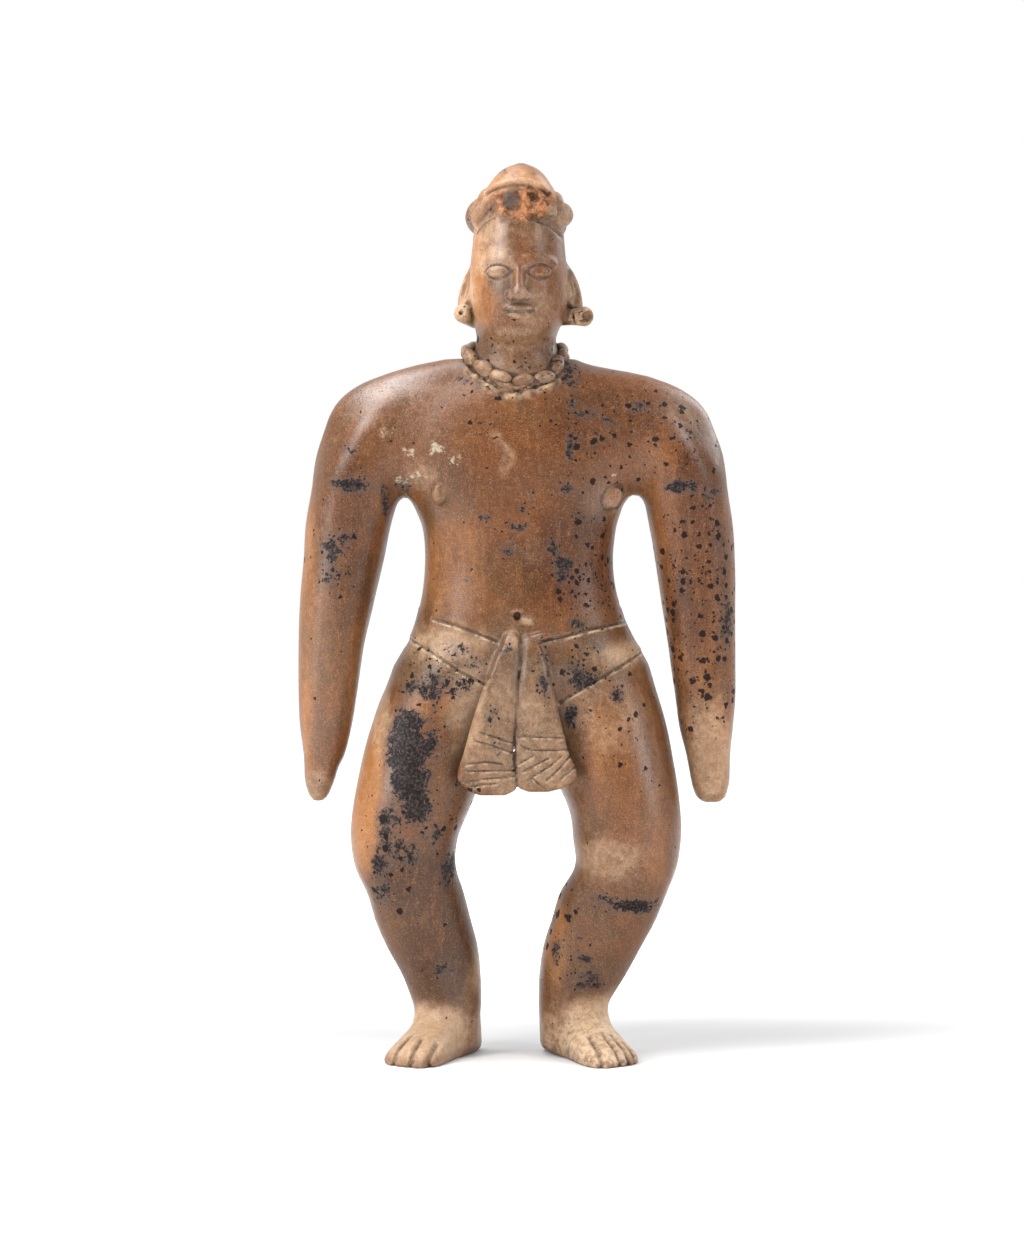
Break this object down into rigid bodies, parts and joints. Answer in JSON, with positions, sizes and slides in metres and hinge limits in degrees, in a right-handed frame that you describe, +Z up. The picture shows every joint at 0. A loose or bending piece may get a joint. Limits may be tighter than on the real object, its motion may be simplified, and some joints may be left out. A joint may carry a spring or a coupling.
{
  "type": "pre-columbian standing figure",
  "caption": "Standing clay figure with a rolled headband, ear spools, bead necklace, incised belt and hanging loincloth flaps.",
  "frame": {"origin": "middle of the footprint box at ground level, under the flat soles", "axes": "+Z up, -Y the way the figure faces, +X towards the viewer's right when looking at its front"},
  "size_m": [0.2054, 0.0822, 0.42],
  "materials": {
    "clay": "burnished red-brown clay with dark mineral spots"
  },
  "bodies": {
    "root": {"standing_figure": "clay"}
  },
  "joints": []
}
